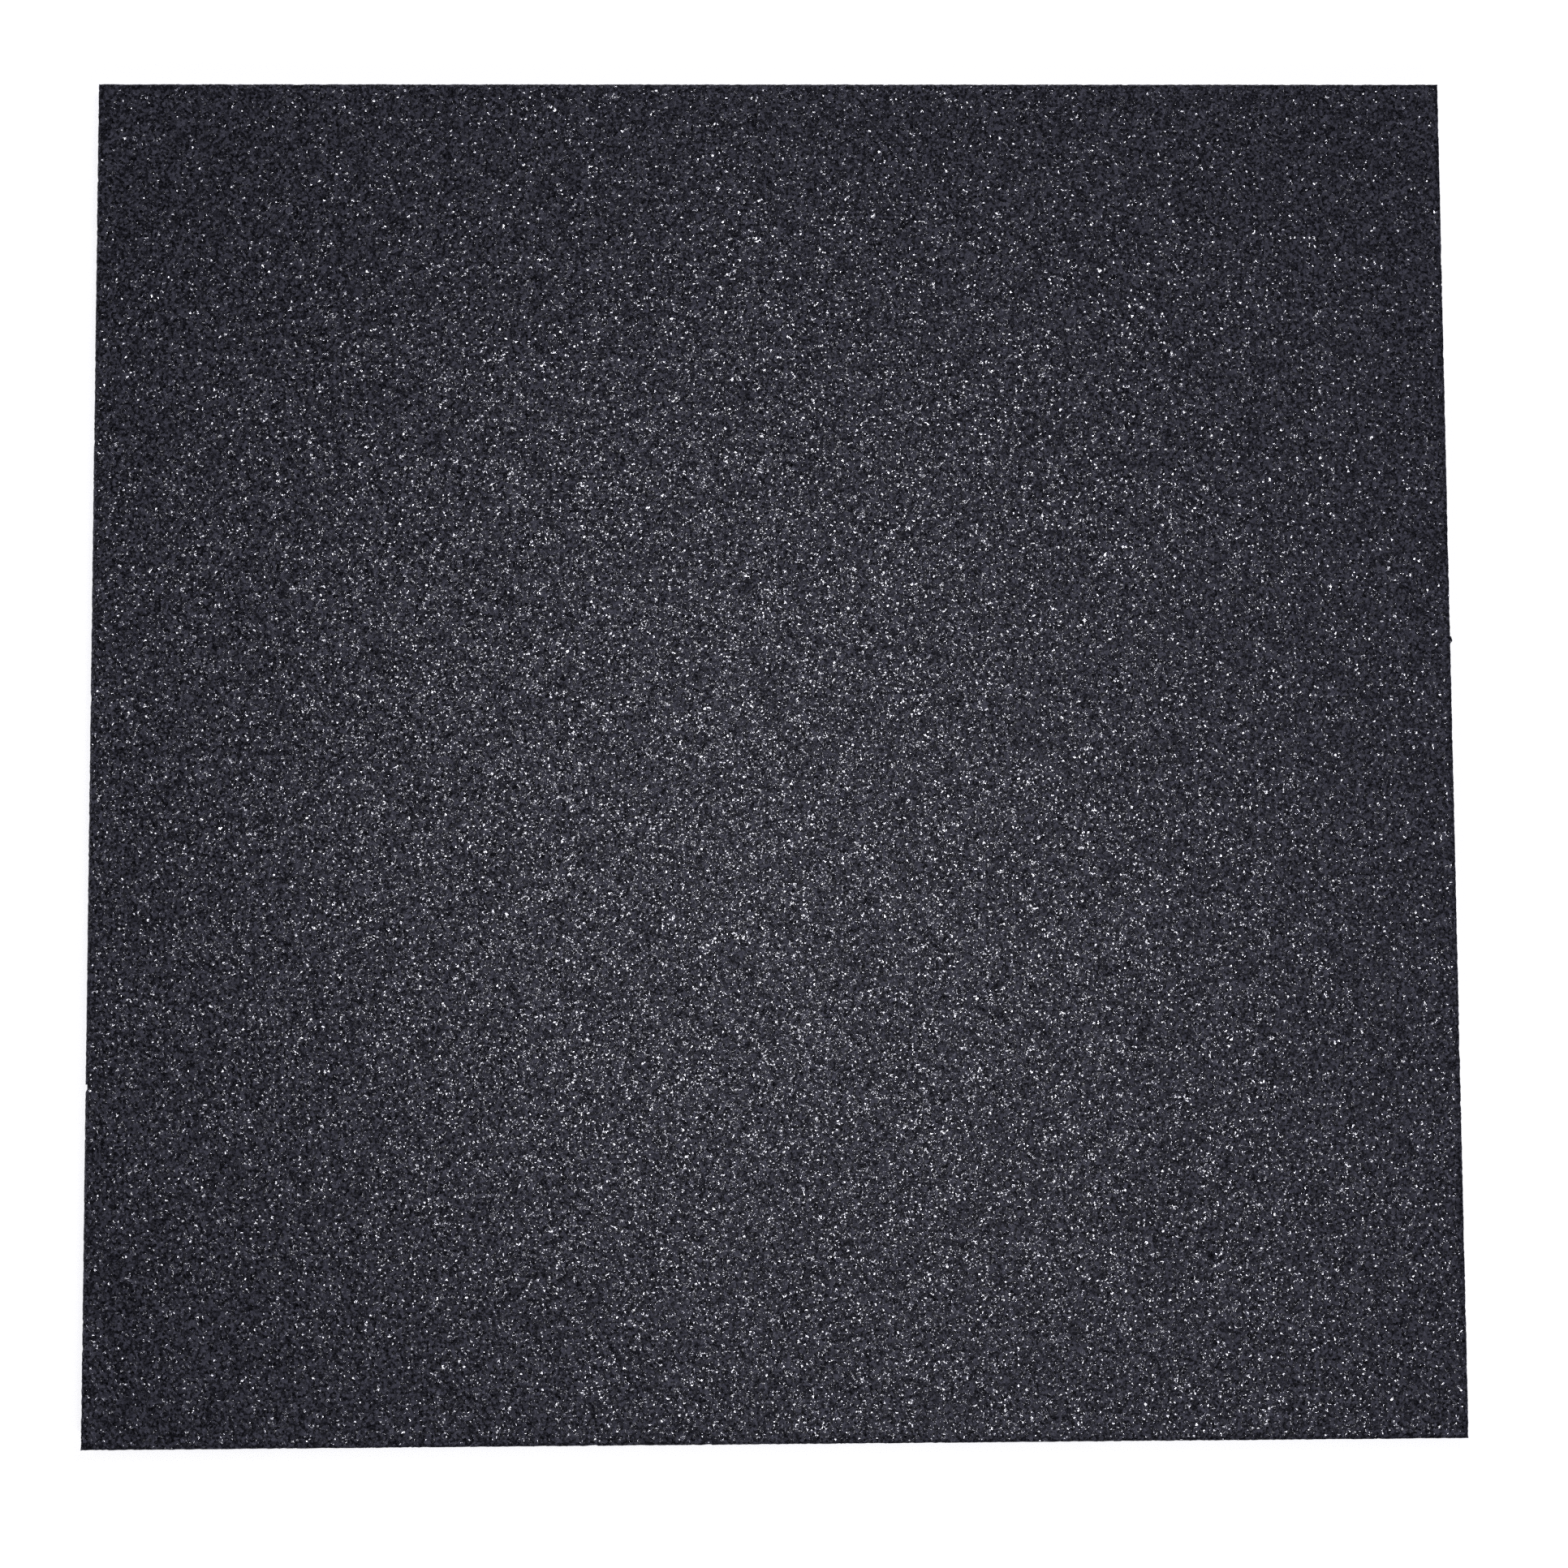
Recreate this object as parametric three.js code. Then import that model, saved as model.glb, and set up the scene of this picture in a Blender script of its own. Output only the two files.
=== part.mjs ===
// Rubber gym floor tile: one square slab, pressed in a mould from black rubber crumb and binder.
// It is a single piece with no core, skin or insert. The frame has +Z up and its origin at the
// middle of the underside, and the four sides face along X and Y.
import * as THREE from 'three';

// Driving dimensions, in millimetres
const TILE_SIDE = 500;
const TILE_THICKNESS = 20;
const TOP_ARRIS_RADIUS = 2.5; // the mould rounds the edge that is walked on
const BOTTOM_ARRIS_RADIUS = 0.8; // the edge on the floor is nearly sharp
const TOP_ARRIS_STEPS = 8;
const BOTTOM_ARRIS_STEPS = 4;

const QUARTER_TURN = Math.PI / 2;
const SIDES_OF_SQUARE = 4;
// A square's corner is this much further from the middle than its side is.
const CORNER_STRETCH = Math.SQRT2;

// Points of a quarter circle round (x, z), from the angle start on, in the section's plane.
function arrisArc(x, z, radius, start, steps) {
  const points = [];
  for (let i = 0; i <= steps; i += 1) {
    const angle = start + (QUARTER_TURN * i) / steps;
    points.push(new THREE.Vector2(x + radius * Math.cos(angle), z + radius * Math.sin(angle)));
  }
  return points;
}

// Half of the section from the middle of a side to the tile's axis: x is the distance from the
// axis, y the height over the floor. It runs from the underside, up the side, to the top face.
function halfSection() {
  const halfSide = TILE_SIDE / 2;
  return [
    new THREE.Vector2(0, 0),
    ...arrisArc(
      halfSide - BOTTOM_ARRIS_RADIUS,
      BOTTOM_ARRIS_RADIUS,
      BOTTOM_ARRIS_RADIUS,
      -QUARTER_TURN,
      BOTTOM_ARRIS_STEPS,
    ),
    ...arrisArc(
      halfSide - TOP_ARRIS_RADIUS,
      TILE_THICKNESS - TOP_ARRIS_RADIUS,
      TOP_ARRIS_RADIUS,
      0,
      TOP_ARRIS_STEPS,
    ),
    new THREE.Vector2(0, TILE_THICKNESS),
  ];
}

// The slab is the half section turned about the tile's axis in four straight steps, so that the
// rounded edges meet in a mitre at each corner, and the upright corners stay sharp.
function slabGeometry() {
  const cornerSection = halfSection().map((point) => new THREE.Vector2(point.x * CORNER_STRETCH, point.y));
  const slab = new THREE.LatheGeometry(cornerSection, SIDES_OF_SQUARE, QUARTER_TURN / 2);
  return slab.rotateX(QUARTER_TURN);
}

// Black crumb rubber: nearly matt, a little blue, with a dull shine from the binder
function crumbRubber() {
  return new THREE.MeshStandardMaterial({ color: 0x26262c, roughness: 0.72, metalness: 0 });
}

const gymTile = new THREE.Group();
const tile = new THREE.Mesh(slabGeometry(), crumbRubber());
tile.name = 'tile';
gymTile.add(tile);

export default gymTile;
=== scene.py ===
import math

import bmesh
import bpy
import numpy as np
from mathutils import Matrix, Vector
from mathutils.geometry import delaunay_2d_cdt


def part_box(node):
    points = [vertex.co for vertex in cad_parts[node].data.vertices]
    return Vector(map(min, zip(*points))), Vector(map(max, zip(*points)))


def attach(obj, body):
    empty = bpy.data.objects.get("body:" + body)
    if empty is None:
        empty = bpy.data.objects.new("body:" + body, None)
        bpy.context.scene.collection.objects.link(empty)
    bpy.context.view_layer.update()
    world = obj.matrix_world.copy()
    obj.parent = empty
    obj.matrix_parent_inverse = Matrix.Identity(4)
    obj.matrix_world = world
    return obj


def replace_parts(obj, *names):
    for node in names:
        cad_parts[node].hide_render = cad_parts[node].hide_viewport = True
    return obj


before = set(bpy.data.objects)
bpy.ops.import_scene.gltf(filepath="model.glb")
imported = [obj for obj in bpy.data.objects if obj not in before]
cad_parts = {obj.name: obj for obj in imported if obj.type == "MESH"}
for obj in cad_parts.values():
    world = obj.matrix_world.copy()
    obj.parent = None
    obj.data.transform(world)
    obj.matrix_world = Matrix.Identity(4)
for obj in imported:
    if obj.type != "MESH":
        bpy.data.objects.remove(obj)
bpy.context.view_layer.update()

# Sizes in millimetres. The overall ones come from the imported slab.
MM = 0.001
SLAB_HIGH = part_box("tile")[1]
HALF_SIDE = SLAB_HIGH.x / MM
THICKNESS = SLAB_HIGH.z / MM
TOP_ARRIS_RADIUS = 2.5
BOTTOM_ARRIS_RADIUS = 0.8

# Distance from one crumb to the next. The crumb is 1 to 3 mm. On the sides and the underside,
# which are seen less, it is drawn coarser to keep the mesh small.
WALKED_ON_PITCH = 1.8
SIDE_PITCH = 2.0
UNDERSIDE_PITCH = 3.4
CRUMB_WANDER = 0.42     # how far a crumb's middle strays from its place in the rows, in pitches
EDGE_WANDER = 0.3       # the same along an edge of the slab
RIM_MARGIN = 0.45       # how far the crumbs of a face keep from its rim, in pitches
LARGE_CRUMB_SHARE = 0.07    # crumbs left out, so that their neighbours grow
PIT_WANDER = 0.16       # how far a pit strays towards one of the three crumbs round it

# The relief goes down from the face that the mould pressed flat.
CRUMB_DEPTH = 0.08          # the most that a crumb's middle lies below that face
PIT_DEPTH = 0.12            # of a usual pit, give or take the spread
PIT_DEPTH_SPREAD = 0.08
DEEP_PIT_SHARE = 0.06       # pits where a crumb is missing, and the most that they are deeper
DEEP_PIT_EXTRA = 0.40

# A crumb has broken out of the left side's upper edge, and one sticks out of the right side.
NICK_Y = -121
NICK_REACH = 0.9        # half the nick's length along the side
NICK_DEPTH = 1.4
NICK_LOW = 13           # height of the nick's lower end
STRAY_CRUMB_MIDDLE = (250.1, 40.6, 17.2)
STRAY_CRUMB_HALF_SIZES = (0.8, 1.35, 0.9)
STRAY_CRUMB_ROUGHNESS = 0.25

CORNERS = [(x, y, z) for x in (-1, 1) for y in (-1, 1) for z in (0, 1)]
SEED = 20
draw = np.random.default_rng(SEED)


def corner_place(corner):
    """Where a corner of the sharp-edged slab is, in millimetres."""
    x, y, z = corner
    return np.array([x * HALF_SIDE, y * HALF_SIDE, z * THICKNESS])


def edge_pitch(start, end):
    """Crumb spacing along an edge of the slab: that of the face it belongs to."""
    if start[2] != end[2]:
        return SIDE_PITCH
    return WALKED_ON_PITCH if start[2] == 1 else UNDERSIDE_PITCH


def edge_crumbs(start, end):
    """Middles of the crumbs along one edge of the slab, unevenly spaced."""
    start_place = corner_place(start)
    run = corner_place(end) - start_place
    count = round(np.linalg.norm(run) / edge_pitch(start, end))
    steps = (np.arange(1, count) + draw.uniform(-EDGE_WANDER, EDGE_WANDER, count - 1)) / count
    return start_place + steps[:, None] * run


def face_crumbs(low, high, pitch):
    """Middles of the crumbs inside a flat face: honeycomb rows, each crumb nudged off its place.
    Some are left out, so that their neighbours grow into large crumbs."""
    row_gap = pitch * math.sqrt(3) / 2
    rows = np.arange(low[1], high[1], row_gap)
    places = np.arange(low[0], high[0], pitch)
    across, up = np.meshgrid(places, rows)
    across = across + (np.arange(len(rows)) % 2)[:, None] * pitch / 2
    middles = np.stack([across.ravel(), up.ravel()], 1)
    angle = draw.uniform(0, math.tau, len(middles))
    stray = CRUMB_WANDER * pitch * np.sqrt(draw.random(len(middles)))
    middles = middles + stray[:, None] * np.stack([np.cos(angle), np.sin(angle)], 1)
    margin = RIM_MARGIN * pitch
    inside = ((middles > low + margin) & (middles < high - margin)).all(1)
    kept = draw.random(len(middles)) > LARGE_CRUMB_SHARE
    return middles[inside & kept]


def fans(triangles, pits):
    """Facets of the crumbs. triangles join the middles of three neighbouring crumbs, and each has
    a pit in it. A crumb's fan goes from its middle to the pits round it. The first corner of each
    facet is the middle of the crumb that owns it."""
    start = triangles.ravel()
    end = np.roll(triangles, -1, axis=1).ravel()
    own_pit = np.repeat(pits, 3)
    most = triangles.max() + 1
    forward = start * most + end
    backward = end * most + start
    order = np.argsort(forward)
    found = np.searchsorted(forward[order], backward).clip(max=len(order) - 1)
    twin = order[found]
    has_twin = forward[twin] == backward
    second = np.where(has_twin, own_pit[twin], end)
    return np.stack([start, second, own_pit], 1)


class Skin:
    """Points and facets of the whole slab's skin, on the sharp-edged slab, in millimetres."""

    def __init__(self):
        self.places = np.zeros((0, 3))
        self.relief = np.zeros(0)
        self.facets = np.zeros((0, 3), int)

    def add_points(self, places, relief):
        """Adds points with their height over the pressed face, and gives their numbers."""
        first = len(self.places)
        self.places = np.concatenate([self.places, places])
        self.relief = np.concatenate([self.relief, relief])
        return np.arange(first, len(self.places))

    def add_face(self, rim, across, up, pitch):
        """Fills one flat face of the slab with crumbs. rim holds the points along its edges, and
        across and up are its axes, so that across x up points out of the slab."""
        flat_rim = np.stack([self.places[rim] @ across, self.places[rim] @ up], 1)
        low, high = flat_rim.min(0), flat_rim.max(0)
        flat_middles = face_crumbs(low, high, pitch)
        out = np.cross(across, up)
        level = self.places[rim[0]] @ out
        raised = flat_middles[:, :1] * across + flat_middles[:, 1:] * up + level * out
        middles = self.add_points(raised, -CRUMB_DEPTH * draw.random(len(raised)))
        points = np.concatenate([rim, middles])
        flat = np.concatenate([flat_rim, flat_middles])
        whole_net = 0
        same_point = 1e-6
        net = delaunay_2d_cdt([Vector(point) for point in flat.tolist()], [], [], whole_net, same_point)
        triangles = points[np.array(net[2])]
        shares = 1 / 3 + draw.uniform(-PIT_WANDER, PIT_WANDER, (len(triangles), 3))
        shares /= shares.sum(1, keepdims=True)
        pit_places = np.einsum("tc,tcx->tx", shares, self.places[triangles])
        depth = PIT_DEPTH + PIT_DEPTH_SPREAD * draw.uniform(-1, 1, len(triangles))
        depth += DEEP_PIT_EXTRA * draw.random(len(triangles)) * (draw.random(len(triangles)) < DEEP_PIT_SHARE)
        pits = self.add_points(pit_places, -depth)
        self.facets = np.concatenate([self.facets, fans(triangles, pits)])


def slab_skin():
    """The skin of all six faces of the slab, joined along its edges."""
    skin = Skin()
    corner_places = np.array([corner_place(corner) for corner in CORNERS])
    corner_ids = skin.add_points(corner_places, np.full(len(CORNERS), -CRUMB_DEPTH))
    corner_id = dict(zip(CORNERS, corner_ids))
    edges = []
    for i, start in enumerate(CORNERS):
        for end in CORNERS[i + 1:]:
            if sum(a != b for a, b in zip(start, end)) == 1:
                middles = edge_crumbs(start, end)
                ids = skin.add_points(middles, -PIT_DEPTH * draw.random(len(middles)))
                edges.append((start, end, ids))
    x, y, z = np.eye(3)
    faces = [
        (2, 1, x, y, WALKED_ON_PITCH),
        (2, 0, y, x, UNDERSIDE_PITCH),
        (0, 1, y, z, SIDE_PITCH),
        (0, -1, z, y, SIDE_PITCH),
        (1, 1, z, x, SIDE_PITCH),
        (1, -1, x, z, SIDE_PITCH),
    ]
    for axis, side, across, up, pitch in faces:
        rim = [[corner_id[c]] for c in CORNERS if c[axis] == side]
        rim += [ids for start, end, ids in edges if start[axis] == end[axis] == side]
        skin.add_face(np.concatenate(rim), across, up, pitch)
    return skin


def break_out_crumb(skin):
    """Deepens the skin at the nick in the left side."""
    on_side = skin.places[:, 0] < -HALF_SIDE + NICK_REACH
    along = np.abs(skin.places[:, 1] - NICK_Y) < NICK_REACH
    high = skin.places[:, 2] > NICK_LOW
    skin.relief[on_side & along & high] = -NICK_DEPTH


def round_arrises(places, relief):
    """Bends the skin of the sharp-edged slab onto the real one: its section is rounded at the
    upper and the lower edge, and the relief is taken square to it."""
    reach = np.abs(places[:, :2]).max(1)
    height = places[:, 2]
    radius = np.where(height > THICKNESS / 2, TOP_ARRIS_RADIUS, BOTTOM_ARRIS_RADIUS)
    core_reach = np.minimum(reach, HALF_SIDE - radius)
    core_height = height.clip(radius, THICKNESS - radius)
    away = np.stack([reach - core_reach, height - core_height], 1)
    away *= ((radius + relief) / np.linalg.norm(away, axis=1))[:, None]
    shrink = np.divide(core_reach + away[:, 0], reach, out=np.ones(len(reach)), where=reach > 0)
    return np.stack([places[:, 0] * shrink, places[:, 1] * shrink, core_height + away[:, 1]], 1)


def closed_quarter(facets, heart):
    """Closes a quarter's open skin inside the slab. Triangles go from its rim to the heart, the
    point in the slab's middle, and lie in the planes that part the quarters."""
    start = facets.ravel()
    end = np.roll(facets, -1, axis=1).ravel()
    most = facets.max() + 1
    rim = ~np.isin(start * most + end, end * most + start)
    inner = np.stack([end[rim], start[rim], np.full(rim.sum(), heart)], 1)
    return np.concatenate([facets, inner])


def make_piece(name, places, facets, material):
    """A piece of the tile in metres, with the points that no facet uses left out."""
    used, corners = np.unique(facets, return_inverse=True)
    mesh = bpy.data.meshes.new(name)
    mesh.from_pydata((places[used] * MM).tolist(), [], corners.reshape(-1, 3).tolist())
    mesh.materials.append(material)
    piece = bpy.data.objects.new(name, mesh)
    bpy.context.collection.objects.link(piece)
    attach(piece, "root")
    return piece


def linear(hex_colour):
    """Linear red, green, blue and alpha of an sRGB hex colour."""
    parts = [int(hex_colour[i:i + 2], 16) / 255 for i in (1, 3, 5)]
    parts = [p / 12.92 if p <= 0.04045 else ((p + 0.055) / 1.055) ** 2.4 for p in parts]
    return (*parts, 1.0)


def add_node(material, kind, inputs=None, **settings):
    """Adds a node. settings are its own properties, and inputs gives its sockets by name or
    number: a value, or another node's output to link."""
    node = material.node_tree.nodes.new(kind)
    for name, value in settings.items():
        setattr(node, name, value)
    for socket, value in (inputs or {}).items():
        if isinstance(value, bpy.types.NodeSocket):
            material.node_tree.links.new(value, node.inputs[socket])
        else:
            node.inputs[socket].default_value = value
    return node


def new_material(name):
    """A material with no nodes yet."""
    material = bpy.data.materials.new(name)
    material.use_nodes = True
    material.node_tree.nodes.clear()
    return material


def pressed_crumb_rubber():
    """Black tyre-rubber crumb in polyurethane binder, hot-pressed in a steel mould. The rubber
    is nearly black with a little blue, and each torn facet of a crumb has its own shade of it and
    leans its own way. The binder leaves a thin glossy film in patches, so the facets that face a
    lamp glint, and the bare rubber between them stays matt."""
    material = new_material("pressed_crumb_rubber")
    place = add_node(material, "ShaderNodeTexCoord").outputs["Object"]
    facet_mm = 0.9
    facets = add_node(material, "ShaderNodeTexVoronoi", {"Vector": place, "Scale": 1 / (facet_mm * MM)})
    shade = add_node(material, "ShaderNodeTexWhiteNoise", {"Vector": facets.outputs["Position"]})
    colour = add_node(material, "ShaderNodeValToRGB", {"Fac": shade.outputs["Value"]})
    ramp = colour.color_ramp.elements
    ramp[0].color = linear("#040405")
    ramp[1].color = linear("#4a4a51")
    ramp.new(0.5).color = linear("#1c1c20")
    # The facets lean up to 12 degrees to each side. The lean is added to the crumb's own normal.
    lean = 0.43
    leaning = add_node(material, "ShaderNodeVectorMath", {
        0: facets.outputs["Color"], 1: (lean, lean, lean), 2: (-lean / 2, -lean / 2, -lean / 2)},
        operation="MULTIPLY_ADD")
    straight = add_node(material, "ShaderNodeNewGeometry").outputs["Normal"]
    leant = add_node(material, "ShaderNodeVectorMath", {0: straight, 1: leaning.outputs["Vector"]})
    facet_normal = add_node(material, "ShaderNodeVectorMath", {0: leant.outputs["Vector"]},
                            operation="NORMALIZE")
    tear_grain_mm = 0.6
    tear_depth_mm = 0.03
    tears = add_node(material, "ShaderNodeTexNoise", {
        "Vector": place, "Scale": 1 / (tear_grain_mm * MM), "Detail": 2.0, "Roughness": 0.6})
    bump = add_node(material, "ShaderNodeBump", {
        "Height": tears.outputs["Fac"], "Distance": tear_depth_mm * MM, "Strength": 1.0,
        "Normal": facet_normal.outputs["Vector"]})
    roughness = add_node(material, "ShaderNodeMapRange", {
        "Value": shade.outputs["Value"], "To Min": 0.26, "To Max": 0.55})
    film = add_node(material, "ShaderNodeMapRange", {
        "Value": tears.outputs["Fac"], "From Min": 0.47, "From Max": 0.56})
    rubber = add_node(material, "ShaderNodeBsdfPrincipled", {
        "Base Color": colour.outputs["Color"], "Roughness": roughness.outputs["Result"],
        "IOR": 1.5, "Specular IOR Level": 0.1, "Normal": bump.outputs["Normal"],
        "Coat Weight": film.outputs["Result"], "Coat Roughness": 0.125, "Coat IOR": 1.75,
        "Coat Normal": bump.outputs["Normal"]})
    add_node(material, "ShaderNodeOutputMaterial", {"Surface": rubber.outputs["BSDF"]})
    return material


def white_backdrop_paper():
    """Seamless backdrop paper, calendered and matt: an even, pale ground with a faint shadow. It is
    lit from its back, so that it stays as white as a cut-out picture's ground."""
    material = new_material("white_backdrop_paper")
    paper = add_node(material, "ShaderNodeBsdfPrincipled", {
        "Base Color": linear("#bcbcbc"), "Roughness": 0.9, "IOR": 1.5,
        "Emission Color": linear("#ffffff"), "Emission Strength": 0.8})
    add_node(material, "ShaderNodeOutputMaterial", {"Surface": paper.outputs["BSDF"]})
    return material


def tile_pieces(rubber):
    """The slab in four quarters, which keeps each mesh small. They meet without a gap, because
    the same crumbs lie along both sides of each parting."""
    skin = slab_skin()
    break_out_crumb(skin)
    middle = (0, 0, THICKNESS / 2)
    heart = skin.add_points(np.array([middle]), np.zeros(1))[0]
    places = round_arrises(skin.places, skin.relief)
    places[heart] = middle
    owners = skin.places[skin.facets[:, 0]]
    quarters = [("front_left", -1, -1), ("front_right", 1, -1), ("back_left", -1, 1), ("back_right", 1, 1)]
    for name, side_x, side_y in quarters:
        mine = ((owners[:, 0] >= 0) == (side_x > 0)) & ((owners[:, 1] >= 0) == (side_y > 0))
        facets = closed_quarter(skin.facets[mine], heart)
        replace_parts(make_piece("tile_" + name, places, facets, rubber), "tile")


def stray_crumb(rubber):
    """The crumb that sticks out of the right side: a torn lump, held by the binder."""
    lump = bmesh.new()
    bmesh.ops.create_icosphere(lump, subdivisions=2, radius=1)
    places = np.array([corner.co[:] for corner in lump.verts])
    facets = np.array([[corner.index for corner in face.verts] for face in lump.faces])
    lump.free()
    places *= 1 + STRAY_CRUMB_ROUGHNESS * draw.uniform(-1, 1, (len(places), 1))
    make_piece("stray_crumb", places * STRAY_CRUMB_HALF_SIZES + STRAY_CRUMB_MIDDLE, facets, rubber)


def paper_sweep():
    """A round floor of pale paper that curves up into a wall, in metres. Only the camera sees it,
    so it casts no glare on the tile's rounded edges."""
    floor_radius = 2.0
    curve_radius = 2.5
    wall_top = 6.0
    curve_steps = 12
    turns = 96
    bends = [math.pi / 2 * i / curve_steps for i in range(curve_steps + 1)]
    section = [(floor_radius + curve_radius * math.sin(b), curve_radius * (1 - math.cos(b))) for b in bends]
    section.append((floor_radius + curve_radius, wall_top))
    angles = [math.tau * i / turns for i in range(turns)]
    points = [(r * math.cos(a), r * math.sin(a), z) for r, z in section for a in angles]
    faces = [list(range(turns))]
    for ring in range(len(section) - 1):
        for i in range(turns):
            j = (i + 1) % turns
            inner = ring * turns
            outer = inner + turns
            faces.append([outer + i, outer + j, inner + j, inner + i])
    mesh = bpy.data.meshes.new("paper_sweep")
    mesh.from_pydata(points, [], faces)
    mesh.shade_smooth()
    mesh.materials.append(white_backdrop_paper())
    sweep = bpy.data.objects.new("paper_sweep", mesh)
    bpy.context.collection.objects.link(sweep)
    sweep.visible_diffuse = False
    sweep.visible_glossy = False
    sweep.visible_shadow = False


def soft_box(name, place, aim, size, brightness, colour):
    """A studio lamp with a flat cloth front. size is its width and height in metres, and the
    brightness is that of the cloth. It stands at place and faces aim."""
    width, height = size
    lamp = bpy.data.lights.new(name, "AREA")
    lamp.shape = "RECTANGLE"
    lamp.size = width
    lamp.size_y = height
    lamp.energy = brightness * math.pi * width * height
    lamp.color = linear(colour)[:3]
    holder = bpy.data.objects.new(name, lamp)
    bpy.context.collection.objects.link(holder)
    holder.location = place
    holder.rotation_mode = "QUATERNION"
    holder.rotation_quaternion = (Vector(aim) - Vector(place)).to_track_quat("-Z", "Y")
    holder.visible_camera = False


def studio():
    """A dim room. Three small lamps over the tile give the glints, brightest near its middle. A
    dim ceiling fills in between them, and windows and a pale floor light the tile's sides."""
    room_light = "#dcdcff"
    lamp_light = "#f6f6ff"
    day_light = "#e8e8f8"
    room_brightness = 0.08
    lamp_size = (0.1, 0.1)
    window_size = (0.8, 0.3)
    tile_middle = (0, 0, 0)
    world = bpy.data.worlds.new("studio")
    bpy.context.scene.world = world
    world.use_nodes = True
    nodes = world.node_tree.nodes
    nodes["Background"].inputs["Color"].default_value = linear(room_light)
    nodes["Background"].inputs["Strength"].default_value = room_brightness
    soft_box("overhead", (0.08, 0.12, 0.86), tile_middle, lamp_size, 59, lamp_light)
    soft_box("left_lamp", (-0.2, 0, 0.86), tile_middle, lamp_size, 34, lamp_light)
    soft_box("front_lamp", (0.19, -0.47, 0.86), tile_middle, lamp_size, 54, lamp_light)
    soft_box("ceiling", (0.4, 0, 1.3), (0.4, 0, 0), (2.4, 2.2), 0.24, room_light)
    soft_box("floor_bounce", (-0.45, 0.45, 0.0005), (-0.45, 0.45, 1), (1.4, 1.4), 0.4, day_light)
    soft_box("back_window", (0, 1.2, 0.5), tile_middle, window_size, 1.3, day_light)
    soft_box("left_window", (-1.2, 0, 0.5), tile_middle, window_size, 1.3, day_light)
    soft_box("front_window", (0, -1.2, 0.5), tile_middle, window_size, 0.6, day_light)
    soft_box("right_window", (1.2, 0, 0.5), tile_middle, window_size, 0.6, day_light)
    bpy.context.scene.view_settings.view_transform = "Standard"
    # The glints are single pixels, which a denoiser takes for noise and smears.
    bpy.context.scene.cycles.use_denoising = False


def photo_camera():
    """Nearly straight above the tile, as in the photograph, a little to the front and tilted."""
    lens_mm = 50
    sensor_mm = 36
    place = Vector((-8.5, -58.1, THICKNESS + 794.5)) * MM
    turn_degrees = (3.334, -0.840, -0.301)
    lens = bpy.data.cameras.new("photo_camera")
    lens.lens = lens_mm
    lens.sensor_width = sensor_mm
    camera = bpy.data.objects.new("photo_camera", lens)
    bpy.context.collection.objects.link(camera)
    camera.location = place
    camera.rotation_euler = [math.radians(turn) for turn in turn_degrees]
    bpy.context.scene.camera = camera


photo_camera()
studio()
paper_sweep()
crumb_rubber = pressed_crumb_rubber()
tile_pieces(crumb_rubber)
stray_crumb(crumb_rubber)
